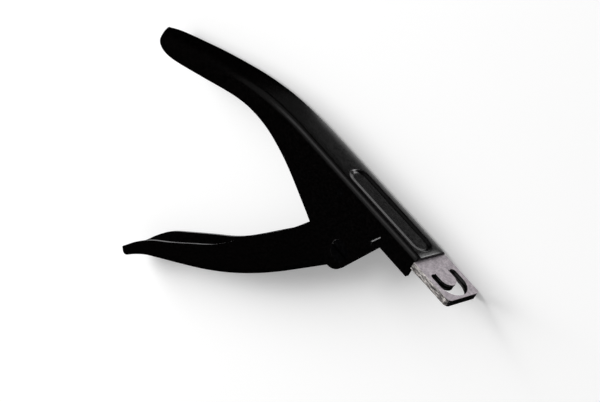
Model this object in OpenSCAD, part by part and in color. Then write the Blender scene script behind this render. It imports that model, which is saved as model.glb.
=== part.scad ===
// Plier-style trimmer with a U-slotted steel head. Squeezing the handles drives a flat
// blade across the slot. Lies flat on one cheek; the pivot axis is the Z axis.
// X runs forward to the head, Y runs up to the web over the barrel.

/* [Body] */
// Overall thickness of the tool, from cheek to cheek
body_w = 12; // [11.5:0.1:12.5]
// Thickness of the body's stamped sheet
sheet = 1.2; // [1.1:0.05:1.25]
// Outside radius of the bend between web and side
bend_r = 1.5; // [1.4:0.1:2]
// Height of the web's top face over the pivot
web_top = 17.0; // [16.9:0.05:17.2]
// Length of the upper handle behind the pivot
upper_length = 90.5; // [90:0.5:95]
// Distance from the pivot to the mouth of the barrel
barrel_front = 20.4; // [20:0.1:22]
// Height of the barrel's lower edge over the pivot
barrel_bottom = 10.8; // [10:0.1:11.5]
// Radius of the cheek's lower corner
cheek_r = 4.5; // [3.5:0.1:5]
// How far the far cheek's front edge stands behind the near one's
far_setback = 2.1; // [2:0.05:2.2]

/* [Groove in the web] */
// Rear end of the pressed groove
groove_rear = -12.4; // [-14:0.2:-8]
// Front end of the pressed groove
groove_front = 19.2; // [16:0.2:19.4]
// Width of the groove
groove_w = 6.8; // [5:0.2:7.2]
// Depth of the groove
groove_depth = 0.45; // [0.2:0.05:0.5]

/* [Lower handle] */
// Width of the lever over its ears
lever_w = 9.3; // [9:0.1:9.4]
// Thickness of the lever's stamped sheet
lever_sheet = 1.0; // [0.8:0.1:1.2]
// Length of the lower handle from the pivot
lever_length = 97; // [92:0.5:100]
// Direction of the lower handle at rest, about the pivot
lever_angle = 225; // [222:0.5:228]

/* [Head] */
// Length of the head in front of the barrel
head_reach = 14.0; // [13:0.2:15]
// Thickness of each slotted plate
plate = 0.65; // [0.6:0.05:0.7]
// Height of the channel that the blade runs in
channel = 0.72; // [0.7:0.02:0.8]
// Half width of the U slot, outside
slot_half = 4.6; // [4.2:0.1:4.6]
// Half width of the tongue inside the slot
tongue_half = 2.5; // [2:0.1:2.8]
// Distance from the slot's bottom to the front face
slot_lip = 0.74; // [0.7:0.02:0.9]
// Distance from the tongue's tip to the front face
tongue_back = 4.25; // [4:0.05:5]
// Distance from the ends of the slot's arms to the front face
slot_reach = 9.1; // [8.8:0.1:9.3]
// Radius of the head's front corners
head_corner = 1.3; // [0.8:0.1:1.5]

/* [Mechanism] */
// Distance from the pivot to the drive pin
drive_reach = 13.4; // [13.2:0.1:13.4]
// Swing of the lower handle from open to closed
swing = 37; // [36:0.5:37]
// Radius of the drive pin
drive_pin_r = 1.2; // [1:0.05:1.25]
// Radius of the pivot's bearing barrel
pivot_r = 1.8; // [1.7:0.05:1.9]
// Wire diameter of the return spring
wire_d = 0.8; // [0.7:0.05:0.85]

/* [Hidden] */

$fn = 48;
running = 0.05;          // radial clearance of a running fit
snug = 0.02;             // radial clearance of a fixed pin or screw
eps = 0.01;
far = 40;                // reach of shapes that only cut
bend_steps = 5;          // flats round each bend
mid = body_w / 2;        // height of the middle plane over the resting plane
inside = body_w - 2 * sheet;
ear_gap = lever_w - 2 * lever_sheet;

// Upper handle: its web from the tip forward, its lower edge, and its plan
web_start = -22;         // the web is straight in front of this
upper_tip = 9;           // length of the rounded end
upper_web = [[-98, 2.6], [-92, 2.3], [-87.5, 2.9], [-83, 4.2], [-73, 7.9], [-63, 11.2], [-53.5, 13.9],
    [-43.5, 15.85], [-33, 16.8], [web_start, web_top]];
cheek_rear = [-14.7, 0.3];
upper_edge = [[-98, 0.2], [-90, -0.4], [-84, -0.5], [-79, 0.2], [-67.6, 3.7], [-54.6, 7.9], [-48, 9.3],
    [-42, 9.5], [-36, 8.7], [-27.5, 6.1], cheek_rear];
upper_full = -45;        // the handle has its full width in front of this
upper_plan = [[-98, mid * 0.95], [-80, mid * 0.95], [upper_full, mid]];
cheek_corner = [-1.24, -1.6];
cheek_arc = [-114, -25.6]; // first and last direction of the corner
notch_x = 9.6;
dent_ends = [[7.2, 9.9], [8.7, 12.7]];
dent_r = 0.65;
dent_depth = 0.35;

// Lower handle, in its own frame: X along it from the pivot, Y towards its web
lower_start = 5.4;       // where the web starts
lower_tip = 9;           // length of the rounded end
lower_bend_r = 1.6;
lower_web = [[0, 3.3], [8, 4.0], [17.4, 4.9], [27, 5.75], [37, 6.15], [47, 5.9], [57, 4.9], [67, 3.25],
    [78, 1.2], [84, 0.2], [90, 0], [98, 0.7]];
lower_edge = [[5, -9.7], [10.5, -8.1], [18.7, -6.3], [31, -4.9], [43.7, -3.2], [51, -2.5], [60, -2.9],
    [70, -3.5], [79, -4.3], [86, -4.0], [92, -3.0], [98, -2.4]];
far_lower_edge = [[5, -9.7], [10.5, -8.1], [18.7, -6.3], [31, -4.9], [43.7, -3.6], [51, -3.5], [60, -4.3],
    [70, -5.1], [79, -5.6], [86, -4.6], [92, -3.1], [98, -2.4]];
ear_r = 3.6;             // near ear, round the pivot
far_ear_r = 2.35;        // far ear, behind the far cheek's set-back edge
ear_tip_r = 2.1;
ear_pin_start = -68;     // direction at which the ears' edge starts round the drive pin
ear_pivot_end = -310;    // direction at which it leaves the pivot again
ear_top = 2.2;           // height at which it meets the grip
ear_overlap = 1;         // the two ears' cutting shapes overlap by this at the middle plane
rise = 0.02;             // length of a steep rise in a bar's height

// Head layers, from the web down
plate_top = web_top - sheet;
channel_top = plate_top - plate;
channel_bottom = channel_top - channel;
head_bottom = channel_bottom - plate;
head_front = barrel_front + head_reach;
tang_half = inside / 2 - 0.1;
tang_rear = 12.4;
floor_t = 1.0;
floor_lip = 3;           // how far the floor stands out of the barrel
floor_corner = 1;
guide_wall = 0.45;       // wall that closes the blade's channel in front
bottom_grow = 0.1;       // the lower slot is wider than the upper one by this
head_screw_x = 15.2;
head_screw_z = 3.75;
head_screw_r = 0.55;
head_screw_head = [0.95, 0.6]; // radius and height

// Drive: the pin swings evenly to both sides of the line through the pivot
stroke = 2 * drive_reach * sin(swing / 2);
drive_x = -stroke / 2;
drive_y = drive_reach * cos(swing / 2);
slot_clear = 0.08;       // room beside the drive pin in the yoke
carrier_front = tang_rear - stroke - running;
carrier_rear = drive_x - drive_pin_r - 1.9;
carrier_w = ear_gap - 0.3;
carrier_bottom = 10.9;
stop_r = 1.25;
stop_y = 13.2;
stop_x = carrier_rear - stop_r - running;
carrier_play = 0.15;     // room over the carrier and over the drive pin

// Blade
blade_t = 0.6;
blade_bottom = channel_bottom + 0.06;
stem_half = 2.95;        // half width of the blade's stem
blade_half = slot_half + 0.25;
edge_rest = head_front - slot_reach;
blade_neck = barrel_front + 0.6;
channel_step = barrel_front + 0.3;
ledge_x = drive_x + drive_pin_r + 1.3;
blade_screw_x = [-0.2, 2.3];
blade_screw_r = 0.6;
blade_screw_head = [1.05, 0.5]; // radius and height
blade_screw_length = 2.2;
blade_bevel = 40;        // angle of the ground edge
stem_play = 0.15;        // room beside the stem
blade_play = 0.1;        // room beside the blade

// Pivot and spring
pivot_screw_r = 1.3;
spigot_r = 1.3;          // reduced far end of the pivot
flush_flare = 1.3;       // how much wider than its shank a flush head is
screw_slot_w = 0.8;
screw_slot_depth = 0.6;
nut_floor = 1.0;         // solid end of the nut's threaded bore
coil_r = 2.3;
coil_length = 3.3;
upper_leg = [-17, 14.9];
lower_leg = turned([22, 3.4], lever_angle);

// ---------- curves ----------

// Slope at point i of a curve through points p, from its neighbours
function slope(p, i) =
    let (a = max(i - 1, 0), b = min(i + 1, len(p) - 1))
    (p[b][1] - p[a][1]) / (p[b][0] - p[a][0]);

// Index of the stretch of p that holds x
function stretch(p, x, i = 0) = i >= len(p) - 2 || x < p[i + 1][0] ? i : stretch(p, x, i + 1);

// Height at x of the smooth curve through points p, which run in rising x
function curve(p, x) =
    let (
        i = stretch(p, x),
        h = p[i + 1][0] - p[i][0],
        t = (x - p[i][0]) / h
    )
    p[i][1] * (1 + 2 * t) * (1 - t) * (1 - t) + p[i + 1][1] * t * t * (3 - 2 * t)
    + h * slope(p, i) * t * (1 - t) * (1 - t) - h * slope(p, i + 1) * t * t * (1 - t);

// n + 1 points of the curve through p, from x = a to x = b
function curve_points(p, a, b, n) = [for (k = [0:n]) let (x = a + (b - a) * k / n) [x, curve(p, x)]];

// n + 1 points of an arc about c, from angle a to angle b
function arc(c, r, a, b, n) = [for (k = [0:n]) let (t = a + (b - a) * k / n) c + r * [cos(t), sin(t)]];

// Point p turned by angle a about the pivot
function turned(p, a) = [p[0] * cos(a) - p[1] * sin(a), p[0] * sin(a) + p[1] * cos(a)];

// Extrudes a plan, drawn as [x, z] about the middle plane, between two heights
module layer(bottom, top) {
    translate([0, top, 0]) rotate([90, 0, 0]) linear_extrude(top - bottom) mirror([0, 1]) children();
}

// Plan rectangle from x = a to x = b, half as wide as half each side of the middle plane
module strip(a, b, half) {
    translate([a, -half]) square([b - a, 2 * half]);
}

// Extrudes a side view between two offsets from the middle plane
module slab(low, high) {
    translate([0, 0, low]) linear_extrude(high - low) children();
}

// ---------- channel-shaped handles ----------

// One section of a rounded bar, as [y, z] points: web at y = top, sides down to y = bottom
function bar_section(top, bottom, half, r) = concat(
    [[bottom, half]],
    [for (k = [0:bend_steps]) let (t = 90 * k / bend_steps) [top - r + r * sin(t), half - r + r * cos(t)]],
    [for (k = [bend_steps:-1:0]) let (t = 90 * k / bend_steps)
        [top - r + r * sin(t), -half + r - r * cos(t)]],
    [[bottom, -half]]
);

// Solid through the sections at the given stations, each [x, top, half width]
module bar(stations, bottom, r) {
    rings = [for (s = stations)
        [for (q = bar_section(s[1], bottom, s[2], min(r, s[2] * 0.98))) [s[0], q[0], q[1]]]];
    n = len(rings[0]);
    last = len(rings) - 1;
    sides = [for (i = [0:last - 1]) for (j = [0:n - 1]) let (k = (j + 1) % n)
        each [[i * n + j, i * n + k, (i + 1) * n + k], [i * n + j, (i + 1) * n + k, (i + 1) * n + j]]];
    first_cap = [for (j = [n - 1:-1:0]) j];
    last_cap = [for (j = [0:n - 1]) last * n + j];
    polyhedron([for (ring = rings) each ring], concat([first_cap], sides, [last_cap]), convexity = 6);
}

// Half width, at distance d from a rounded end, of a strip that reaches its full half width after tip
function end_width(d, tip, half) = d >= tip ? half : half * sqrt(max(0.0004, 1 - pow(1 - d / tip, 2)));

// Distances from a rounded end at which its sections are taken
function end_steps(tip) = [for (k = [0:6]) tip * (1 - cos(15 * k))];

// ---------- upper handle ----------

function upper_height(x) = x > web_start ? web_top : curve(upper_web, x);

function upper_half(x) = x > upper_full ? mid : curve(upper_plan, x);

module upper_bar(inset, front) {
    rear = -upper_length + inset;
    xs = concat(
        [for (d = end_steps(upper_tip)) rear + d],
        [for (k = [1:14]) let (a = rear + upper_tip) a + (web_start - a) * k / 14],
        [front]
    );
    bar([for (x = xs) [x, upper_height(x) - inset, end_width(x - rear, upper_tip, upper_half(x) - inset)]],
        -far, bend_r - inset);
}

// Side outline of the grip, one cheek and the barrel, with the cheek's front edge moved back by setback
module upper_outline(setback) {
    polygon(concat(
        [[-3 * far, far], [-3 * far, upper_edge[0][1]]],
        curve_points(upper_edge, upper_edge[0][0], cheek_rear[0], 40),
        arc(cheek_corner - [setback, 0], cheek_r, cheek_arc[0], cheek_arc[1], 12),
        [[notch_x - setback, barrel_bottom], [barrel_front, barrel_bottom], [barrel_front, far]]
    ));
}

module groove() {
    end_r = groove_w / 2;
    layer(web_top - groove_depth, web_top + 1) {
        translate([groove_rear + end_r, 0]) circle(r = end_r);
        translate([groove_front - end_r, 0]) circle(r = end_r);
        strip(groove_rear + end_r, groove_front - end_r, end_r);
    }
}

// Cone that a flush head sits in, widest at the outer face of the near cheek
module flush_seat(r, play) {
    translate([0, 0, mid - sheet]) cylinder(r1 = r + play, r2 = r + flush_flare + play, h = sheet + eps);
}

// Short dent pressed into the near cheek, by the notch
module dent() {
    run = dent_ends[1] - dent_ends[0];
    slab(mid - dent_depth, mid + 1) translate(dent_ends[0]) rotate(atan2(run[1], run[0])) {
        circle(r = dent_r);
        strip(0, norm(run), dent_r);
        translate([norm(run), 0]) circle(r = dent_r);
    }
}

module upper_handle() color([0.03, 0.03, 0.035]) lifted() difference() {
    intersection() {
        difference() {
            upper_bar(0, barrel_front);
            upper_bar(sheet, barrel_front + 1);
        }
        union() {
            slab(0, far) upper_outline(0);
            slab(-far, 0) upper_outline(far_setback);
        }
    }
    groove();
    dent();
    cylinder(r = pivot_r + snug, h = far);
    cylinder(r = spigot_r + snug, h = 2 * far, center = true);
    flush_seat(pivot_r, snug);
    translate([stop_x, stop_y, 0]) cylinder(r = stop_r + snug, h = 2 * far, center = true);
}

// ---------- lower handle ----------

// Round the ears, in front of the web, the bar is far taller than the outline that cuts it.
// The hollow rises a little behind the outside, so that the web ends open.
module lower_bar(inset) {
    tip_end = lever_length - inset;
    tip_start = tip_end - lower_tip;
    front = lower_start - (inset > 0 ? lever_sheet : lever_sheet / 3);
    ends = end_steps(lower_tip);
    xs = concat(
        [front],
        [for (k = [1:14]) front + (tip_start - front) * k / 15],
        [for (k = [6:-1:0]) tip_end - ends[k]]
    );
    bar(concat(
        [for (x = [-far / 2 - inset, front - rise]) [x, far / 2 - inset, lever_w / 2 - inset]],
        [for (x = xs)
            [x, curve(lower_web, x) - inset, end_width(tip_end - x, lower_tip, lever_w / 2 - inset)]]
    ), -far, lower_bend_r - inset);
}

// Side outline of the grip, in the lever's own frame, open below at the given edge
module grip_outline(edge) {
    last = edge[len(edge) - 1];
    polygon(concat(
        [[lower_start, far / 4], [lower_start, edge[0][1]]],
        curve_points(edge, edge[0][0], last[0], 40),
        [[2 * lever_length, last[1]], [2 * lever_length, far / 4]]
    ));
}

// Side outline of one ear, in the lever's own frame: round the drive pin, then round the pivot
module ear_outline(r) {
    pin = turned([drive_x, drive_y], -lever_angle);
    flat = atan2(pin[1], pin[0]) - acos((r - ear_tip_r) / norm(pin));
    joined = lower_start + 1;
    polygon(concat(
        [[joined, curve(lower_edge, joined)]],
        arc(pin, ear_tip_r, ear_pin_start, flat, 12),
        arc([0, 0], r, flat, ear_pivot_end, 12),
        [[joined, ear_top]]
    ));
}

module lower_handle() color([0.03, 0.03, 0.035]) lifted() difference() {
    rotate([0, 0, lever_angle]) intersection() {
        difference() {
            lower_bar(0);
            lower_bar(lever_sheet);
        }
        union() {
            slab(0, far) grip_outline(lower_edge);
            slab(-far, 0) grip_outline(far_lower_edge);
            slab(-ear_overlap, far) ear_outline(ear_r);
            slab(-far, ear_overlap) ear_outline(far_ear_r);
        }
    }
    cylinder(r = pivot_r + running, h = far);
    cylinder(r = spigot_r + running, h = 2 * far, center = true);
    translate([drive_x, drive_y, 0]) cylinder(r = drive_pin_r + snug, h = 2 * far, center = true);
}

// ---------- pivot ----------

// Sleeve nut: its spigot carries the far ear and is riveted into the far cheek
module pivot_nut() color([0.05, 0.05, 0.055]) lifted() difference() {
    union() {
        translate([0, 0, -mid]) cylinder(r = spigot_r, h = mid);
        translate([0, 0, -ear_gap / 2 + running])
            cylinder(r = pivot_r, h = ear_gap / 2 - running + mid - sheet);
    }
    translate([0, 0, -ear_gap / 2 + nut_floor]) cylinder(r = pivot_screw_r + snug, h = far);
}

module flush_cone(r) {
    translate([0, 0, mid - sheet]) cylinder(r1 = r, r2 = r + flush_flare, h = sheet);
}

module pivot_screw() color([0.05, 0.05, 0.055]) lifted() difference() {
    union() {
        flush_cone(pivot_r);
        translate([0, 0, -ear_gap / 2 + nut_floor])
            cylinder(r = pivot_screw_r, h = ear_gap / 2 - nut_floor + mid - sheet);
    }
    translate([-far, -screw_slot_w / 2, mid - screw_slot_depth]) cube([2 * far, screw_slot_w, far]);
}

module stop_pin() color([0.05, 0.05, 0.055]) lifted()
    translate([stop_x, stop_y, 0]) cylinder(r = stop_r, h = body_w, center = true);

module drive_pin() color([0.6, 0.6, 0.62]) lifted()
    translate([drive_x, drive_y, 0]) cylinder(r = drive_pin_r, h = lever_w, center = true);

// ---------- return spring ----------

// The coil is a plain sleeve here, with the two legs that bear on the handles
module return_spring() color([0.6, 0.6, 0.62]) lifted() {
    difference() {
        cylinder(r = coil_r + wire_d / 2, h = coil_length, center = true);
        cylinder(r = coil_r - wire_d / 2, h = 2 * coil_length, center = true);
    }
    leg(upper_leg, 1);
    leg(lower_leg, -1);
}

// Straight wire from the coil's side to the point p, at the coil's upper or lower end
module leg(p, side) {
    start = turned([0, side * coil_r], atan2(p[1], p[0]));
    run = p - start;
    translate([start[0], start[1], side * (coil_length / 2 - wire_d * 0.7)])
        rotate([0, 0, atan2(run[1], run[0])]) rotate([0, 90, 0]) cylinder(d = wire_d * 0.96, h = norm(run));
}

// ---------- blade and carrier ----------

module blade_carrier() color([0.55, 0.55, 0.57]) lifted() difference() {
    union() {
        slab(-carrier_w / 2, carrier_w / 2) translate([carrier_rear, carrier_bottom])
            square([ledge_x - carrier_rear, plate_top - carrier_play - carrier_bottom]);
        slab(-carrier_w / 2, carrier_w / 2) translate([carrier_rear, carrier_bottom])
            square([carrier_front - carrier_rear, blade_bottom - carrier_bottom]);
    }
    slab(-far, far) translate([drive_x - drive_pin_r - slot_clear, carrier_bottom - 1])
        square([2 * (drive_pin_r + slot_clear),
            drive_reach + drive_pin_r + carrier_play - carrier_bottom + 1]);
    for (x = blade_screw_x) translate([x, 0, 0]) rotate([-90, 0, 0])
        cylinder(r = blade_screw_r + snug, h = far);
}

module blade_plan() {
    strip(ledge_x + blade_play, blade_neck, stem_half);
    strip(blade_neck - eps, edge_rest, blade_half);
}

module blade() color([0.75, 0.76, 0.78]) lifted() difference() {
    layer(blade_bottom, blade_bottom + blade_t) blade_plan();
    // Ground bevel under the cutting edge
    translate([edge_rest, blade_bottom + blade_t, 0]) rotate([0, 0, 180 + blade_bevel])
        translate([-far, 0, -far]) cube([2 * far, far, 2 * far]);
    for (x = blade_screw_x) translate([x, 0, 0]) rotate([-90, 0, 0])
        cylinder(r = blade_screw_r + snug, h = far);
}

module blade_screws() color([0.65, 0.65, 0.67]) lifted()
    for (x = blade_screw_x) translate([x, 0, 0]) rotate([-90, 0, 0]) {
        translate([0, 0, blade_bottom - blade_screw_length])
            cylinder(r = blade_screw_r, h = blade_screw_length + blade_t);
        translate([0, 0, blade_bottom + blade_t]) cylinder(r = blade_screw_head[0], h = blade_screw_head[1]);
    }

// ---------- head ----------

// The U slot, as a plan, wider by grow all round
module slot_plan(grow = 0) {
    arm_r = (slot_half - tongue_half) / 2;
    outer_x = head_front - slot_lip - slot_half;
    tongue_x = head_front - tongue_back - tongue_half;
    arm_x = head_front - slot_reach + arm_r;
    difference() {
        union() {
            translate([outer_x, 0]) circle(r = slot_half + grow);
            strip(arm_x, outer_x, slot_half + grow);
            for (side = [-1, 1]) translate([arm_x, side * (slot_half - arm_r)]) circle(r = arm_r + grow);
        }
        translate([tongue_x, 0]) circle(r = tongue_half - grow);
        strip(arm_x - 2 * arm_r, tongue_x, tongue_half - grow);
    }
}

// Outline of the head's plates, as a plan: the part in front of the barrel and the tang
module head_plan() {
    strip(tang_rear, barrel_front + 1, tang_half);
    strip(barrel_front, head_front - head_corner, body_w / 2);
    strip(head_front - 2 * head_corner, head_front, body_w / 2 - head_corner);
    for (side = [-1, 1]) translate([head_front - head_corner, side * (body_w / 2 - head_corner)])
        circle(r = head_corner);
}

module head_screw_holes(r) {
    for (side = [-1, 1]) translate([head_screw_x, 0, side * head_screw_z]) rotate([-90, 0, 0])
        cylinder(r = r, h = far);
}

module head_top_plate() color([0.72, 0.7, 0.74]) lifted() difference() {
    layer(channel_top, plate_top) difference() {
        head_plan();
        slot_plan();
    }
    head_screw_holes(head_screw_r + snug);
}

module head_bottom_plate() color([0.62, 0.6, 0.63]) lifted() difference() {
    layer(head_bottom, channel_bottom) difference() {
        head_plan();
        slot_plan(bottom_grow);
    }
    head_screw_holes(head_screw_r + snug);
}

module blade_guide() color([0.6, 0.58, 0.6]) lifted() difference() {
    layer(channel_bottom, channel_top) difference() {
        head_plan();
        strip(0, channel_step, stem_half + stem_play);
        strip(channel_step - eps, head_front - guide_wall, blade_half + blade_play);
    }
    head_screw_holes(head_screw_r + snug);
}

module barrel_floor() color([0.03, 0.03, 0.035]) lifted() difference() {
    layer(head_bottom - floor_t, head_bottom) {
        strip(tang_rear, barrel_front + floor_lip - floor_corner, inside / 2);
        strip(tang_rear, barrel_front + floor_lip, inside / 2 - floor_corner);
        for (side = [-1, 1])
            translate([barrel_front + floor_lip - floor_corner, side * (inside / 2 - floor_corner)])
                circle(r = floor_corner);
    }
    head_screw_holes(head_screw_r + snug);
}

module head_screws() color([0.5, 0.5, 0.52]) lifted()
    for (side = [-1, 1]) translate([head_screw_x, 0, side * head_screw_z]) rotate([-90, 0, 0]) {
        translate([0, 0, head_bottom - floor_t - head_screw_head[1]])
            cylinder(r = head_screw_head[0], h = head_screw_head[1]);
        translate([0, 0, head_bottom - floor_t])
            cylinder(r = head_screw_r, h = plate_top - head_bottom + floor_t);
    }

// Everything is drawn about the middle plane, then lifted to rest on one cheek
module lifted() {
    translate([0, 0, mid]) children();
}

upper_handle();
lower_handle();
pivot_screw();
pivot_nut();
return_spring();
stop_pin();
drive_pin();
blade_carrier();
blade();
blade_screws();
head_top_plate();
blade_guide();
head_bottom_plate();
barrel_floor();
head_screws();
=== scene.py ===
"""Looks for the slotted hand trimmer: black lacquered pressed handles and a satin steel cutting head."""

import math

import bmesh
import bpy
from mathutils import Matrix, Vector


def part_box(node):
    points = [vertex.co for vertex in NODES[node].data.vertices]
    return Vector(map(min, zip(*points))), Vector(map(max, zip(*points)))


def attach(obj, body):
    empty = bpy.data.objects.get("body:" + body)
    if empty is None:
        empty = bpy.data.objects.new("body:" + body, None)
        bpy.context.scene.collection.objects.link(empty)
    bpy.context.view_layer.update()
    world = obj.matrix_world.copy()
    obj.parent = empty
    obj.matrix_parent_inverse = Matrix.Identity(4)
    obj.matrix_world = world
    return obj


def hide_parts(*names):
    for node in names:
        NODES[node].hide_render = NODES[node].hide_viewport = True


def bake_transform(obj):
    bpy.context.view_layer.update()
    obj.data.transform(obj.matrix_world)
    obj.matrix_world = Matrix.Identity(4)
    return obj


# ---------------------------------------------------------------- frame and sizes, all in metres

MM = 0.001
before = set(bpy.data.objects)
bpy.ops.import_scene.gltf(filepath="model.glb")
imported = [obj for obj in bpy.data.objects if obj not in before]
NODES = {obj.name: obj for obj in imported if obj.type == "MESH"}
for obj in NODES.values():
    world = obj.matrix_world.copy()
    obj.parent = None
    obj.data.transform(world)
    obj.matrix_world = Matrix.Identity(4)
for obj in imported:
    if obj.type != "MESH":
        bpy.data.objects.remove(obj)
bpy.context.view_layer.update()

UPPER_LOW, UPPER_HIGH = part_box("upper_handle")
HEAD_LOW, HEAD_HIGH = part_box("head_top_plate")
DRIVE_LOW, DRIVE_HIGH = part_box("drive_pin")
STOP_LOW, STOP_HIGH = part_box("stop_pin")
MID = (UPPER_LOW.z + UPPER_HIGH.z) / 2  # height of the middle plane
HALF = (UPPER_HIGH.z - UPPER_LOW.z) / 2
TAIL = UPPER_LOW.x
MOUTH = UPPER_HIGH.x
WEB_TOP = UPPER_HIGH.y
SHEET = WEB_TOP - HEAD_HIGH.y
BEND_R = 1.5 * MM
SOFT_BEND_R = 2.1 * MM  # the lacquered bend outside, along the barrel
GRIP_BEND_R = 3.0 * MM  # and over the grip
BARREL_BOTTOM = 10.8 * MM

LEVER_HALF = (DRIVE_HIGH.z - DRIVE_LOW.z) / 2
LEVER_SHEET = 1.0 * MM
LEVER_LENGTH = 97 * MM
LEVER_ANGLE = math.radians(225)
LEVER_BEND_R = 1.6 * MM
LEVER_START = 5.4 * MM

# ------------------------------------------------------- curves, the same as the part's source, in mm

WEB_START = -22
UPPER_WEB = [(-98, 2.6), (-92, 2.3), (-87.5, 2.9), (-83, 4.2), (-73, 7.9), (-63, 11.2), (-53.5, 13.9),
             (-43.5, 15.85), (-33, 16.8), (WEB_START, WEB_TOP / MM)]
CHEEK_REAR = (-14.7, 0.3)
UPPER_EDGE = [(-98, 0.2), (-90, -0.4), (-84, -0.5), (-79, 0.2), (-67.6, 3.7), (-54.6, 7.9), (-48, 9.3),
              (-42, 9.5), (-36, 8.7), (-27.5, 6.1), CHEEK_REAR]
UPPER_FULL = -45
UPPER_PLAN = [(-98, HALF / MM * 0.95), (-80, HALF / MM * 0.95), (UPPER_FULL, HALF / MM)]
CHEEK_CORNER = (-1.24, -1.6)
CHEEK_R = 4.5
CHEEK_ARC = (-114, -25.6)  # the corner's first and last direction, in degrees
NOTCH_X = 9.6
FAR_SETBACK = 2.1  # how far the far cheek's front edge stands behind the near one's
CROWN = 0.35 * MM  # how far the web's sides would fall below its middle
MOUTH_DIP = 0.12 * MM
MOUTH_DIP_LENGTH = 1.6 * MM
LOWER_WEB = [(0, 3.3), (8, 4.0), (17.4, 4.9), (27, 5.75), (37, 6.15), (47, 5.9), (57, 4.9), (67, 3.25),
             (78, 1.2), (84, 0.2), (90, 0), (98, 0.7)]
LOWER_EDGE = [(5, -9.7), (10.5, -8.1), (18.7, -6.3), (31, -4.9), (43.7, -3.2), (51, -2.5), (60, -2.9),
              (70, -3.5), (79, -4.3), (86, -4.0), (92, -3.0), (98, -2.4)]
FAR_LOWER_EDGE = [(5, -9.7), (10.5, -8.1), (18.7, -6.3), (31, -4.9), (43.7, -3.6), (51, -3.5), (60, -4.3),
                  (70, -5.1), (79, -5.6), (86, -4.6), (92, -3.1), (98, -2.4)]
TIP = 9  # length of both handles' rounded ends, seen from the web
ROUND_TIP = 4  # length of the lower handle's rounded end, seen from the side

GROOVE_REAR = -12.4 * MM
GROOVE_FRONT = 19.2 * MM
GROOVE_R = 3.4 * MM
GROOVE_DEPTH = 0.42 * MM
GROOVE_WALL = 1.5 * MM

PIVOT_R = 1.8 * MM
SPIGOT_R = 1.3 * MM
FLUSH_FLARE = 1.3 * MM
EAR_R = 3.6 * MM
FAR_EAR_R = 2.35 * MM
EAR_TIP_R = 2.1 * MM
PLAY = 0.03 * MM
DENT = [Vector((7.2 * MM, 9.9 * MM)), Vector((8.7 * MM, 12.7 * MM))]  # ends of the short dent by the notch
DENT_R = 0.8 * MM
DENT_DEPTH = 0.35 * MM
SLOT_HALF = 4.6 * MM

WIRE_R = 0.4 * MM
COIL_R = 2.3 * MM
COIL_TOP = 1.1 * MM  # height of the legs over and under the middle plane
COIL_TURNS = 3
UPPER_LEG = Vector((-17 * MM, 14.9 * MM))
LOWER_LEG_ALONG = Vector((22 * MM, 3.4 * MM))  # in the lower handle's own frame


def curve(points, x):
    """Height at x of the smooth curve through points, which run in rising x."""
    i = 0
    while i < len(points) - 2 and x >= points[i + 1][0]:
        i += 1

    def slope(k):
        before, after = points[max(k - 1, 0)], points[min(k + 1, len(points) - 1)]
        return (after[1] - before[1]) / (after[0] - before[0])

    (x0, y0), (x1, y1) = points[i], points[i + 1]
    h = x1 - x0
    t = (x - x0) / h
    ends = y0 * (1 + 2 * t) * (1 - t) ** 2 + y1 * t * t * (3 - 2 * t)
    return ends + h * slope(i) * t * (1 - t) ** 2 - h * slope(i + 1) * t * t * (1 - t)


def end_share(distance, tip):
    """Share of its full half width that a strip has at a distance from its round end."""
    if distance >= tip:
        return 1.0
    return math.sqrt(max(0.0, 1 - (1 - distance / tip) ** 2))


def blend_step(t):
    t = min(1.0, max(0.0, t))
    return t * t * (3 - 2 * t)


def spread(start, end, step):
    """Evenly spaced values from start up to but not including end, about step apart."""
    count = max(1, round(abs(end - start) / step))
    return [start + (end - start) * k / count for k in range(count)]


# ---------------------------------------------------------------- mesh tools


def new_object(name, bm):
    mesh = bpy.data.meshes.new(name)
    bm.to_mesh(mesh)
    bm.free()
    obj = bpy.data.objects.new(name, mesh)
    bpy.context.scene.collection.objects.link(obj)
    return obj


def section(x, top, bottoms, half, bends, steps):
    """Points of one open channel section, from the near lip over the web to the far lip.
    bottoms and bends are the heights of the lips and the bends' radii, near and far.
    steps are the numbers of parts of flange, bend and web."""
    flange_steps, bend_steps, web_steps = steps

    def side(bottom, r):
        points = [(bottom + (top - r - bottom) * k / flange_steps, half) for k in range(flange_steps)]
        for k in range(bend_steps):
            t = math.pi / 2 * k / bend_steps
            points.append((top - r + r * math.sin(t), half - r + r * math.cos(t)))
        return points

    near_r, far_r = (min(r, half) for r in bends)
    start, end = half - near_r, far_r - half
    web = [(top, start + (end - start) * k / web_steps) for k in range(web_steps + 1)]
    far_side = [(y, -z) for y, z in reversed(side(bottoms[1], far_r))]
    return [Vector((x, y, MID + z)) for y, z in side(bottoms[0], near_r) + web + far_side]


def add_skin(bm, rows):
    grid = [[bm.verts.new(p) for p in row] for row in rows]
    for lower, upper in zip(grid, grid[1:]):
        for j in range(len(lower) - 1):
            bm.faces.new((lower[j], lower[j + 1], upper[j + 1], upper[j]))
    return grid


def channel(name, outer_rows, inner_rows):
    """A folded sheet between two skins, closed at the first row, with its lips and its last row's rim."""
    bm = bmesh.new()
    outer = add_skin(bm, outer_rows)
    inner = add_skin(bm, inner_rows)
    for lip in (0, -1):
        for i in range(len(outer) - 1):
            bm.faces.new((outer[i][lip], outer[i + 1][lip], inner[i + 1][lip], inner[i][lip]))
    bm.faces.new(outer[-1] + inner[-1][::-1])
    bmesh.ops.remove_doubles(bm, verts=bm.verts, dist=1e-6)
    bmesh.ops.dissolve_degenerate(bm, edges=bm.edges, dist=1e-7)
    bmesh.ops.recalc_face_normals(bm, faces=bm.faces)
    return new_object(name, bm)


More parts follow.
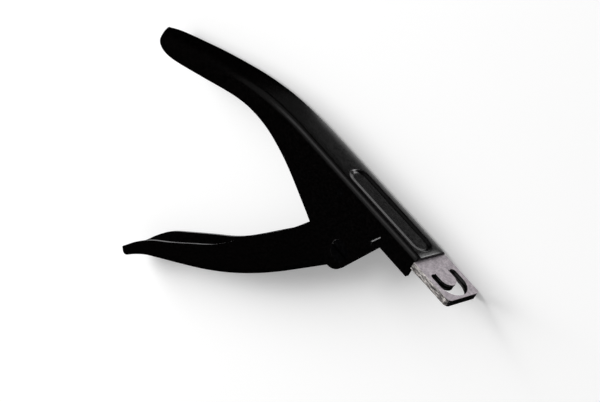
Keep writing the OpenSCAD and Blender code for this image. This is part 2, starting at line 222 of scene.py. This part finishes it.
def plate(name, outline, low, high):
    """A flat plate with the given [x, y] outline between two heights."""
    bm = bmesh.new()
    bottom = [bm.verts.new((x, y, low)) for x, y in outline]
    top = [bm.verts.new((x, y, high)) for x, y in outline]
    bm.faces.new(bottom)
    bm.faces.new(top)
    for k in range(len(outline)):
        n = (k + 1) % len(outline)
        bm.faces.new((bottom[k], bottom[n], top[n], top[k]))
    bmesh.ops.recalc_face_normals(bm, faces=bm.faces)
    return new_object(name, bm)


def lathe(name, centre, profile, steps=64):
    """A solid turned about a vertical line through centre.
    The profile is [radius, height] from bottom to top."""
    bm = bmesh.new()
    rings = []
    for r, z in profile:
        rings.append([bm.verts.new((centre[0] + r * math.cos(2 * math.pi * k / steps),
                                    centre[1] + r * math.sin(2 * math.pi * k / steps), z))
                      for k in range(steps)])
    for low, high in zip(rings, rings[1:]):
        for k in range(steps):
            n = (k + 1) % steps
            bm.faces.new((low[k], low[n], high[n], high[k]))
    bm.faces.new(rings[0])
    bm.faces.new(rings[-1])
    bmesh.ops.recalc_face_normals(bm, faces=bm.faces)
    return new_object(name, bm)


def capsule(name, ends, r, z, steps=24):
    """A round-ended bar between two [x, y] points at height z."""
    along = (ends[1] - ends[0]).to_3d()
    bm = bmesh.new()
    bmesh.ops.create_uvsphere(bm, u_segments=steps, v_segments=steps, radius=r)
    bmesh.ops.transform(bm, matrix=along.to_track_quat("Z", "Y").to_matrix().to_4x4(), verts=bm.verts)
    for v in bm.verts:
        v.co += ends[1 if v.co.dot(along) > 1e-9 else 0].to_3d() + Vector((0, 0, z))
    return new_object(name, bm)


def combine(obj, tool, operation):
    """Joins obj with tool or cuts tool from it, and removes the tool."""
    boolean = obj.modifiers.new(operation, "BOOLEAN")
    boolean.operation = operation
    boolean.solver = "EXACT"
    boolean.object = tool
    depsgraph = bpy.context.evaluated_depsgraph_get()
    result = bpy.data.meshes.new_from_object(obj.evaluated_get(depsgraph))
    obj.modifiers.clear()
    obj.data = result
    bpy.data.objects.remove(tool)


def soften(obj, width, steps=2, sharp=40, shade=True):
    """Rounds the sharp edges and gives flat faces flat shading up to their rounded rims."""
    bevel = obj.modifiers.new("rounded_edges", "BEVEL")
    bevel.width = width
    bevel.segments = steps
    bevel.limit_method = "ANGLE"
    bevel.angle_limit = math.radians(sharp)
    bevel.miter_outer = "MITER_ARC"
    if shade:
        for face in obj.data.polygons:
            face.use_smooth = True
        obj.modifiers.new("even_shading", "WEIGHTED_NORMAL")


def soften_node(name, width, steps=2):
    """The same for a CAD node, whose triangles are first merged back into faces."""
    obj = NODES[name]
    weld = obj.modifiers.new("weld", "WELD")
    weld.merge_threshold = 1e-6
    flat = obj.modifiers.new("flat_faces", "DECIMATE")
    flat.decimate_type = "DISSOLVE"
    flat.angle_limit = math.radians(0.5)
    soften(obj, width, steps)


# ---------------------------------------------------------------- materials


class Paint:
    """A small helper for building one node material."""

    def __init__(self, name):
        self.material = bpy.data.materials.new(name)
        self.material.use_nodes = True
        self.nodes = self.material.node_tree.nodes
        self.links = self.material.node_tree.links
        self.shader = self.nodes["Principled BSDF"]
        self.place = self.nodes.new("ShaderNodeTexCoord").outputs["Object"]

    def set(self, **values):
        for socket, value in values.items():
            self.shader.inputs[socket.replace("_", " ")].default_value = value

    def stretched(self, x, y, z):
        mapping = self.nodes.new("ShaderNodeMapping")
        mapping.inputs["Scale"].default_value = (x, y, z)
        self.links.new(self.place, mapping.inputs["Vector"])
        return mapping.outputs["Vector"]

    def noise(self, per_metre, detail=4, roughness=0.55, place=None):
        node = self.nodes.new("ShaderNodeTexNoise")
        node.inputs["Scale"].default_value = per_metre
        node.inputs["Detail"].default_value = detail
        node.inputs["Roughness"].default_value = roughness
        self.links.new(place or self.place, node.inputs["Vector"])
        return node.outputs["Fac"]

    def ramp(self, source, *stops):
        """Colours along source, each stop (position, grey or colour)."""
        node = self.nodes.new("ShaderNodeValToRGB")
        self.links.new(source, node.inputs["Fac"])
        elements = node.color_ramp.elements
        while len(elements) < len(stops):
            elements.new(0.5)
        for element, (position, tone) in zip(elements, stops):
            element.position = position
            element.color = (tone, tone, tone, 1) if isinstance(tone, float) else (*tone, 1)
        return node.outputs["Color"]

    def maths(self, operation, a, b=0.0):
        node = self.nodes.new("ShaderNodeMath")
        node.operation = operation
        node.use_clamp = operation in ("MULTIPLY", "MULTIPLY_ADD")
        for socket, value in zip(node.inputs, (a, b)):
            if isinstance(value, float):
                socket.default_value = value
            else:
                self.links.new(value, socket)
        return node.outputs[0]

    def axes(self, source):
        node = self.nodes.new("ShaderNodeSeparateXYZ")
        self.links.new(source, node.inputs[0])
        return node.outputs

    def facing(self, axis, least):
        """1 on faces that look along an axis in either direction, 0 elsewhere."""
        normal = self.axes(self.nodes.new("ShaderNodeTexCoord").outputs["Normal"])
        return self.maths("GREATER_THAN", self.maths("ABSOLUTE", normal[axis]), least)

    def inside_slot(self):
        """1 on the head's faces under its top, or upright, near the slot, which get painted shade; 0 on its
        outside.
        """
        place = self.axes(self.place)
        off_middle = self.maths("ABSOLUTE", self.maths("SUBTRACT", place["Z"], float(MID)))
        within = self.maths("LESS_THAN", off_middle, SLOT_HALF + 0.7 * MM)
        behind = self.maths("LESS_THAN", place["X"], HEAD_HIGH.x - 0.2 * MM)
        under = self.maths("LESS_THAN", place["Y"], HEAD_HIGH.y - 0.06 * MM)
        return self.maths("MULTIPLY", under, self.maths("MULTIPLY", within, behind))

    def mixed(self, colour, mask, other):
        """colour, with other (a colour or another node's output) where the mask is 1."""
        node = self.nodes.new("ShaderNodeMix")
        node.data_type = "RGBA"
        self.links.new(mask, node.inputs["Factor"])
        self.links.new(colour, node.inputs[6])
        if isinstance(other, tuple):
            node.inputs[7].default_value = (*other, 1)
        else:
            self.links.new(other, node.inputs[7])
        return node.outputs[2]

    def feed(self, source, socket):
        self.links.new(source, self.shader.inputs[socket])

    def bump(self, source, height, strength=1.0):
        node = self.nodes.new("ShaderNodeBump")
        node.inputs["Distance"].default_value = height
        node.inputs["Strength"].default_value = strength
        self.links.new(source, node.inputs["Height"])
        previous = self.shader.inputs["Normal"]
        if previous.is_linked:
            self.links.new(previous.links[0].from_socket, node.inputs["Normal"])
        self.links.new(node.outputs["Normal"], previous)


def black_lacquer():
    """Gloss black lacquer over pressed steel, with a slight orange peel and dust in the coat."""
    paint = Paint("black_lacquer")
    paint.set(Specular_IOR_Level=0.4)
    dust = paint.noise(1400, 3)
    lacquer = paint.ramp(dust, (0.4, (0.0006, 0.0005, 0.0005)), (0.75, (0.003, 0.0024, 0.0024)))
    paint.feed(lacquer, "Base Color")
    paint.feed(paint.ramp(paint.noise(900, 5, 0.65), (0.3, 0.16), (0.75, 0.28)), "Roughness")
    paint.bump(paint.noise(350, 2), 0.00002, 0.25)
    paint.bump(paint.noise(3200, 2), 0.000006, 0.5)
    return paint.material


def satin_steel():
    """The head's steel: pale lavender grey with a fine mottled grain. The layered sides are streaked from
    near black
    to near white: grain of the stacked plates with painted glints and painted shade between them. Painted
    shade, near black, covers the slot's walls, the faces under the top plate by the slot, the sawn front and
    the other ends."""
    paint = Paint("satin_steel")
    paint.set(Metallic=0.55)
    mottle = paint.noise(1100, 6, 0.8)
    pale = paint.ramp(mottle, (0.3, (0.28, 0.25, 0.28)), (0.5, (0.56, 0.5, 0.54)), (0.7, (0.8, 0.75, 0.78)))
    streaks = paint.noise(900, 5, 0.75, paint.stretched(0.5, 1.6, 1))
    # partly painted: the sides' streaks run from near black to near white, the stacked plates' grain with
    # painted glints and painted shade between the plates
    side_grain_painted_glints_and_shade = paint.ramp(streaks, (0.4, (0.03, 0.027, 0.027)), (0.52, (0.3, 0.28, 0.27)),
                            (0.64, (0.95, 0.9, 0.86)))
    colour = paint.mixed(pale, paint.facing("Z", 0.7), side_grain_painted_glints_and_shade)
    # painted shade: near black on the slot's walls, on the faces under the top plate by the slot and on every
    # face looking along X, such as the sawn front
    painted_shade_walls = paint.maths("MAXIMUM", paint.inside_slot(), paint.facing("X", 0.7))
    paint.feed(paint.mixed(colour, painted_shade_walls, (0.012, 0.011, 0.012)), "Base Color")
    paint.feed(paint.ramp(paint.noise(2200, 4, 0.6), (0.3, 0.36), (0.7, 0.52)), "Roughness")
    paint.bump(paint.noise(2600, 3, 0.6), 0.00002, 0.5)
    return paint.material


def ground_steel(name, tone, grain):
    """Steel with fine grinding lines."""
    paint = Paint(name)
    paint.set(Metallic=0.7)
    lines = paint.noise(300, 4, 0.6, paint.stretched(*grain))
    paint.feed(paint.ramp(lines, (0.3, tuple(0.8 * c for c in tone)), (0.7, tone)), "Base Color")
    paint.feed(paint.ramp(lines, (0.3, 0.25), (0.7, 0.4)), "Roughness")
    paint.bump(lines, 0.000008, 0.5)
    return paint.material


def blued_steel():
    """Blackened screws and pins, a little worn."""
    paint = Paint("blued_steel")
    paint.set(Metallic=0.8)
    wear = paint.noise(1200, 5, 0.65)
    paint.feed(paint.ramp(wear, (0.5, (0.006, 0.006, 0.007)), (0.8, (0.03, 0.03, 0.033))), "Base Color")
    paint.feed(paint.ramp(wear, (0.4, 0.14), (0.8, 0.26)), "Roughness")
    paint.bump(wear, 0.00001, 0.3)
    return paint.material


def dress(obj, material):
    obj.data.materials.clear()
    obj.data.materials.append(material)


# ---------------------------------------------------------------- upper handle


def upper_bottom(x, setback=0.0):
    """Height of one side's lower edge at x, in mm: grip, cheek, notch and barrel."""
    first, last = (math.radians(a) for a in CHEEK_ARC)
    corner = (CHEEK_CORNER[0] - setback, CHEEK_CORNER[1])
    arc_start = (corner[0] + CHEEK_R * math.cos(first), corner[1] + CHEEK_R * math.sin(first))
    arc_end = (corner[0] + CHEEK_R * math.cos(last), corner[1] + CHEEK_R * math.sin(last))
    notch = (NOTCH_X - setback, BARREL_BOTTOM / MM)
    if x <= CHEEK_REAR[0]:
        return curve(UPPER_EDGE, x)
    if x <= arc_start[0]:
        t = (x - CHEEK_REAR[0]) / (arc_start[0] - CHEEK_REAR[0])
        return CHEEK_REAR[1] + t * (arc_start[1] - CHEEK_REAR[1])
    if x <= arc_end[0]:
        return corner[1] - math.sqrt(max(0, CHEEK_R ** 2 - (x - corner[0]) ** 2))
    if x <= notch[0]:
        t = (x - arc_end[0]) / (notch[0] - arc_end[0])
        return arc_end[1] + t * (notch[1] - arc_end[1])
    return notch[1]


def upper_top(x):
    return WEB_TOP / MM if x > WEB_START else curve(UPPER_WEB, x)


def upper_half(x):
    return HALF / MM if x > UPPER_FULL else curve(UPPER_PLAN, x)


def upper_bottoms(x):
    """Heights of the near and far lower edges at x, in metres."""
    return upper_bottom(x) * MM, upper_bottom(x, FAR_SETBACK) * MM


def upper_bend(x):
    """Radius of the upper handle's near bend at x, in mm: rounder over the grip than along the barrel."""
    return (GRIP_BEND_R + (SOFT_BEND_R - GRIP_BEND_R) * blend_step((x + 55) / 50)) / MM


def crown_web(row):
    """Lets the web fall away to both sides, and a little towards the mouth."""
    top = max(p.y for p in row)
    for p in row:
        if p.y > top - BEND_R:
            share = (p.y - top + BEND_R) / BEND_R
            p.y -= CROWN * ((p.z - MID) / HALF) ** 4 * share
            p.y -= MOUTH_DIP * max(0.0, 1 - (MOUTH - p.x) / MOUTH_DIP_LENGTH) ** 2 * share


def press_groove(row):
    """Pushes the stadium groove into the web, with a soft rim."""
    for p in row:
        along = min(max(p.x, GROOVE_REAR + GROOVE_R), GROOVE_FRONT - GROOVE_R)
        inside = GROOVE_R - math.hypot(p.x - along, p.z - MID)
        if inside > 0 and p.y > WEB_TOP - BEND_R:
            p.y -= GROOVE_DEPTH * blend_step(inside / GROOVE_WALL)


def upper_stations():
    """Distances along X at which the upper handle's sections are taken, in mm."""
    tail = TAIL / MM
    stations = [tail + TIP * (1 - math.cos(math.radians(90 * k / 14))) for k in range(14)]
    stations += spread(tail + TIP, CHEEK_REAR[0], 1.0)
    stations += spread(CHEEK_REAR[0], NOTCH_X - FAR_SETBACK, 0.2)
    stations += spread(NOTCH_X - FAR_SETBACK, NOTCH_X, 0.2)
    stations += spread(NOTCH_X, MOUTH / MM, 0.25)
    return stations + [MOUTH / MM]


def upper_handle():
    tail = TAIL / MM
    sheet = SHEET / MM
    outer_rows = []
    inner_rows = []
    for x in upper_stations():
        half = upper_half(x) * end_share(x - tail, TIP)
        bends = (upper_bend(x) * MM, BEND_R)
        row = section(x * MM, upper_top(x) * MM, upper_bottoms(x), half * MM, bends, (4, 8, 72))
        crown_web(row)
        press_groove(row)
        outer_rows.append(row)
        xi = x + sheet * max(0.0, 1 - (x - tail) / TIP)
        half = (upper_half(xi) - sheet) * end_share(xi - tail - sheet, TIP)
        inner_rows.append(section(xi * MM, upper_top(xi) * MM - SHEET, upper_bottoms(xi), half * MM,
                                  (BEND_R - SHEET,) * 2, (4, 4, 8)))
    obj = channel("upper_handle_pressing", outer_rows, inner_rows)
    low, high = MID - HALF, MID + HALF
    bore = [(SPIGOT_R + PLAY, low - MM), (SPIGOT_R + PLAY, MID),
            (PIVOT_R + PLAY, MID), (PIVOT_R + PLAY, high - SHEET),
            (PIVOT_R + FLUSH_FLARE + PLAY, high), (PIVOT_R + FLUSH_FLARE + PLAY, high + MM)]
    combine(obj, lathe("pivot_bore", (0, 0), bore), "DIFFERENCE")
    combine(obj, capsule("dent_tool", DENT, DENT_R, MID + HALF + DENT_R - DENT_DEPTH), "DIFFERENCE")
    centre = (STOP_LOW + STOP_HIGH) / 2
    stop_r = (STOP_HIGH.x - STOP_LOW.x) / 2 + PLAY
    combine(obj, lathe("stop_bore", centre, [(stop_r, low - MM), (stop_r, high + MM)]), "DIFFERENCE")
    soften(obj, 0.16 * MM, 3)
    return obj


# ---------------------------------------------------------------- lower handle


def turned(point, angle):
    return Vector((point[0] * math.cos(angle) - point[1] * math.sin(angle),
                   point[0] * math.sin(angle) + point[1] * math.cos(angle)))


def lower_stations():
    """Distances along the lower handle, from its tip to its web's start, in mm."""
    length = LEVER_LENGTH / MM
    stations = [length - TIP * (1 - math.cos(math.radians(90 * k / 14))) for k in range(14)]
    return stations + spread(length - TIP, LEVER_START / MM, 1.0) + [LEVER_START / MM]


def lower_lips(x):
    """Heights of the near and far open edges at x, in metres, rounded towards the tip."""
    web = curve(LOWER_WEB, x) - LEVER_SHEET / MM
    share = end_share(LEVER_LENGTH / MM - x, ROUND_TIP)
    return [(web + (curve(edge, x) - web) * share) * MM for edge in (LOWER_EDGE, FAR_LOWER_EDGE)]


def lower_shell():
    length = LEVER_LENGTH / MM
    sheet = LEVER_SHEET / MM
    outer_rows = []
    inner_rows = []
    for x in lower_stations():
        half = LEVER_HALF * end_share(length - x, TIP)
        outer_rows.append(section(x * MM, curve(LOWER_WEB, x) * MM, lower_lips(x), half,
                                  (LEVER_BEND_R,) * 2, (4, 8, 12)))
        xi = x - sheet * max(0.0, 1 - (length - x) / TIP)
        half = (LEVER_HALF - LEVER_SHEET) * end_share(length - sheet - xi, TIP)
        inner_rows.append(section(xi * MM, curve(LOWER_WEB, xi) * MM - LEVER_SHEET, lower_lips(xi), half,
                                  (LEVER_BEND_R - LEVER_SHEET,) * 2, (4, 4, 12)))
    return channel("lower_handle_pressing", outer_rows, inner_rows)


def arc(centre, radius, start, end, steps=16):
    """Points of an arc between two directions, given in degrees."""
    angles = [math.radians(start + (end - start) * k / steps) for k in range(steps + 1)]
    return [centre + radius * Vector((math.cos(t), math.sin(t))) for t in angles]


def ear_outline(pin, radius):
    """Outline of one ear in the lever's own frame: from the grip's lower edge round the pin and the pivot."""
    flat = math.degrees(math.atan2(pin.y, pin.x) - math.acos((radius - EAR_TIP_R) / pin.length))
    joined = LEVER_START + MM
    start = Vector((joined, curve(LOWER_EDGE, joined / MM) * MM))
    round_pin = arc(pin, EAR_TIP_R, -68, flat)
    round_pivot = arc(Vector((0, 0)), radius, flat, -310)
    return [start] + round_pin + round_pivot + [Vector((joined, 2.2 * MM))]


def lower_handle():
    obj = lower_shell()
    pin = turned((DRIVE_LOW + DRIVE_HIGH) / 2, -LEVER_ANGLE)
    inner, outer = LEVER_HALF - LEVER_SHEET, LEVER_HALF
    combine(obj, plate("near_ear", ear_outline(pin, EAR_R), MID + inner, MID + outer), "UNION")
    combine(obj, plate("far_ear", ear_outline(pin, FAR_EAR_R), MID - outer, MID - inner), "UNION")
    pin_r = (DRIVE_HIGH.x - DRIVE_LOW.x) / 2 + PLAY
    bore = [(SPIGOT_R + PLAY, MID - HALF), (SPIGOT_R + PLAY, MID),
            (PIVOT_R + PLAY, MID), (PIVOT_R + PLAY, MID + HALF)]
    combine(obj, lathe("pivot_bore", (0, 0), bore), "DIFFERENCE")
    combine(obj, lathe("pin_bore", pin, [(pin_r, MID - HALF), (pin_r, MID + HALF)]), "DIFFERENCE")
    obj.data.transform(Matrix.Rotation(LEVER_ANGLE, 4, "Z"))
    soften(obj, 0.16 * MM, 3)
    return obj


# ---------------------------------------------------------------- return spring


def tube(name, path, radius, sides=16):
    """A round wire along path, with flat ends."""
    bm = bmesh.new()
    rings = []
    for i, p in enumerate(path):
        along = (path[min(i + 1, len(path) - 1)] - path[max(i - 1, 0)]).normalized()
        across = along.cross(Vector((0, 0, 1))).normalized()
        lift = across.cross(along)
        rings.append([bm.verts.new(p + radius * (across * math.cos(a) + lift * math.sin(a)))
                      for a in (2 * math.pi * k / sides for k in range(sides))])
    for low, high in zip(rings, rings[1:]):
        for k in range(sides):
            n = (k + 1) % sides
            bm.faces.new((low[k], low[n], high[n], high[k]))
    bm.faces.new(rings[0])
    bm.faces.new(rings[-1])
    bmesh.ops.recalc_face_normals(bm, faces=bm.faces)
    obj = new_object(name, bm)
    for face in obj.data.polygons:
        face.use_smooth = len(face.vertices) == 4
    return obj


def spring_path():
    """Up one leg, round the coil and down the other leg."""
    lower_leg = turned(LOWER_LEG_ALONG, LEVER_ANGLE)
    start = math.atan2(UPPER_LEG.y, UPPER_LEG.x) + math.acos(COIL_R / UPPER_LEG.length)
    end = math.atan2(lower_leg.y, lower_leg.x) - math.acos(COIL_R / lower_leg.length)
    while end < start:
        end += 2 * math.pi
    turn = end - start + 2 * math.pi * (COIL_TURNS - 1)
    coil = []
    steps = COIL_TURNS * 40
    for k in range(steps + 1):
        share = k / steps
        angle = start + turn * share
        coil.append(Vector((COIL_R * math.cos(angle), COIL_R * math.sin(angle),
                            MID + COIL_TOP - 2 * COIL_TOP * share)))
    first = Vector((UPPER_LEG.x, UPPER_LEG.y, MID + COIL_TOP))
    last = Vector((lower_leg.x, lower_leg.y, MID - COIL_TOP))
    lead_in = [first.lerp(coil[0], k / 12) for k in range(12)]
    lead_out = [coil[-1].lerp(last, (k + 1) / 12) for k in range(12)]
    return lead_in + coil + lead_out


# ---------------------------------------------------------------- the object

LACQUER = black_lacquer()
HEAD_STEEL = satin_steel()
BLADE_STEEL = ground_steel("blade_steel", (0.78, 0.78, 0.8), (1, 1, 12))
PIN_STEEL = ground_steel("pin_steel", (0.6, 0.6, 0.62), (12, 12, 1))
CARRIER_STEEL = ground_steel("carrier_steel", (0.5, 0.5, 0.52), (1, 12, 12))
SPRING_STEEL = ground_steel("spring_steel", (0.55, 0.55, 0.58), (6, 6, 6))
SCREW_STEEL = ground_steel("screw_steel", (0.6, 0.6, 0.62), (1, 12, 1))
BLUED = blued_steel()

upper = upper_handle()
dress(upper, LACQUER)
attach(upper, "body")
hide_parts("upper_handle")

lower = lower_handle()
dress(lower, LACQUER)
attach(lower, "lever")
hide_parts("lower_handle")

spring = tube("torsion_spring", spring_path(), WIRE_R)
dress(spring, SPRING_STEEL)
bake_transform(spring)
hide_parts("return_spring")

for name, material, rounding in (
        ("head_top_plate", HEAD_STEEL, 0.08),
        ("blade_guide", HEAD_STEEL, 0.05),
        ("head_bottom_plate", HEAD_STEEL, 0.08),
        ("blade", BLADE_STEEL, 0.02),
        ("blade_carrier", CARRIER_STEEL, 0.1),
        ("blade_screws", SCREW_STEEL, 0.06),
        ("head_screws", SCREW_STEEL, 0.06),
        ("barrel_floor", LACQUER, 0.12),
        ("pivot_screw", BLUED, 0.2),
        ("pivot_nut", BLUED, 0.08),
        ("stop_pin", BLUED, 0.08),
        ("drive_pin", PIN_STEEL, 0.08),
):
    dress(NODES[name], material)
    soften_node(name, rounding * MM)

# ---------------------------------------------------------------- camera

CAMERA_TARGET = Vector((-0.0221, -0.0036, 0.006))
CAMERA_DISTANCE = 0.4317
CAMERA_AZIMUTH = math.radians(141.21)
CAMERA_ELEVATION = math.radians(43.98)
CAMERA_ROLL = math.radians(-102.01)


def aim(azimuth, elevation):
    """Direction from the object to a point at that azimuth and elevation."""
    return Vector((math.sin(azimuth) * math.cos(elevation), -math.cos(azimuth) * math.cos(elevation),
                   math.sin(elevation)))


def make_camera():
    data = bpy.data.cameras.new("camera")
    data.lens = 95.4
    data.sensor_width = 36
    data.clip_start = 0.01
    data.clip_end = 10
    camera = bpy.data.objects.new("camera", data)
    bpy.context.scene.collection.objects.link(camera)
    back = aim(CAMERA_AZIMUTH, CAMERA_ELEVATION)
    level = Vector((0, 0, 1)).cross(back).normalized()
    lift = back.cross(level)
    right = level * math.cos(CAMERA_ROLL) + lift * math.sin(CAMERA_ROLL)
    up = back.cross(right)
    place = Matrix((right, up, back)).transposed().to_4x4()
    place.translation = CAMERA_TARGET + back * CAMERA_DISTANCE
    camera.matrix_world = place
    bpy.context.scene.camera = camera


# ---------------------------------------------------------------- floor and light


def make_floor():
    bm = bmesh.new()
    bmesh.ops.create_grid(bm, x_segments=1, y_segments=1, size=3)
    floor = new_object("floor", bm)
    floor.location.z = -0.05 * MM
    paint = Paint("white_paper")
    paint.set(Roughness=1.0, Specular_IOR_Level=0.0)
    paint.set(Base_Color=(0.9, 0.9, 0.9, 1), Emission_Color=(1, 1, 1, 1), Emission_Strength=0.2)
    dress(floor, paint.material)
    floor.visible_glossy = False


def panel(name, direction, distance, size, radiance, along=(1, 0, 0), glossy=True, diffuse=True, only=None):
    """A rectangular light that faces the object from a direction, its first side along the given line.
    only lists the objects that it reaches, when it doesn't reach all."""
    light = bpy.data.lights.new(name, "AREA")
    light.shape = "RECTANGLE"
    light.size, light.size_y = size
    light.energy = radiance * math.pi * size[0] * size[1]
    obj = bpy.data.objects.new(name, light)
    bpy.context.scene.collection.objects.link(obj)
    back = Vector(direction).normalized()
    side = Vector(along)
    side = (side - side.dot(back) * back).normalized()
    place = Matrix((side, back.cross(side), back)).transposed().to_4x4()
    place.translation = CAMERA_TARGET + back * distance
    obj.matrix_world = place
    obj.visible_glossy = glossy
    obj.visible_diffuse = diffuse
    obj.visible_camera = False
    if only:
        reached = bpy.data.collections.new(name + "_receivers")
        for receiver in only:
            reached.objects.link(receiver)
        obj.light_linking.receiver_collection = reached
    return obj


def make_world():
    world = bpy.data.worlds.new("studio")
    bpy.context.scene.world = world
    world.use_nodes = True
    background = world.node_tree.nodes["Background"]
    background.inputs["Color"].default_value = (1, 1, 1, 1)
    background.inputs["Strength"].default_value = 0.3
    world.cycles_visibility.glossy = False


make_camera()
make_floor()
make_world()
SLOPE = (-0.4, -0.4, -0.1)  # the way reflections move where the web slopes
steel = [NODES[name] for name in ("head_top_plate", "blade_guide", "head_bottom_plate", "blade")]
panel("key", (-0.8, -0.06, 0.52), 1.5, (1.2, 1.2), 6.5, glossy=False)
panel("bend_strip", (-0.42, 0.88, 0.17), 0.5, (0.24, 0.16), 1.0, along=SLOPE, diffuse=False, only=[upper])
panel("bend_glow", (-0.5, 0.84, 0.1), 0.5, (0.45, 0.5), 0.16, along=SLOPE, diffuse=False, only=[upper])
panel("web_sheen", (-0.48, 0.52, -0.7), 0.5, (0.25, 0.18), 0.07, along=SLOPE, diffuse=False, only=[upper])
panel("far_edge_card", (-0.36, 0.24, -0.9), 0.5, (0.2, 0.28), 1.1, diffuse=False, only=[upper])
panel("mouth_card", (-0.1, 0.71, -0.69), 0.5, (0.16, 0.14), 1.8, diffuse=False, only=[upper])
panel("groove_glint", (-0.03, 0.71, -0.69), 0.5, (0.1, 0.1), 6.0, diffuse=False, only=[upper])
panel("dent_glint", (0.22, -0.9, 0.38), 0.5, (0.2, 0.2), 6.0, diffuse=False, only=[upper])
panel("lip_card", (-0.58, -0.42, -0.69), 0.5, (0.5, 0.34), 0.6, diffuse=False, only=[lower])
panel("head_top_card", (-0.45, 0.56, -0.69), 0.5, (0.5, 0.5), 0.9, diffuse=False, only=steel)
panel("head_side_card", (-0.45, -0.56, 0.69), 0.5, (0.3, 0.3), 2.2, diffuse=False, only=steel)
panel("overhead", (0.35, 0.2, 0.92), 0.8, (0.6, 0.6), 0.5, diffuse=False)
panel("back_card", (-0.28, 0.8, 0.55), 0.8, (0.3, 0.3), 0.35, diffuse=False)
panel("right_card", (0.7, 0.7, -0.2), 0.7, (0.5, 0.4), 0.7, diffuse=False)
panel("front_card", (0.7, -0.7, 0.3), 0.7, (0.6, 0.4), 0.7, diffuse=False)
bpy.context.scene.view_settings.view_transform = "Standard"
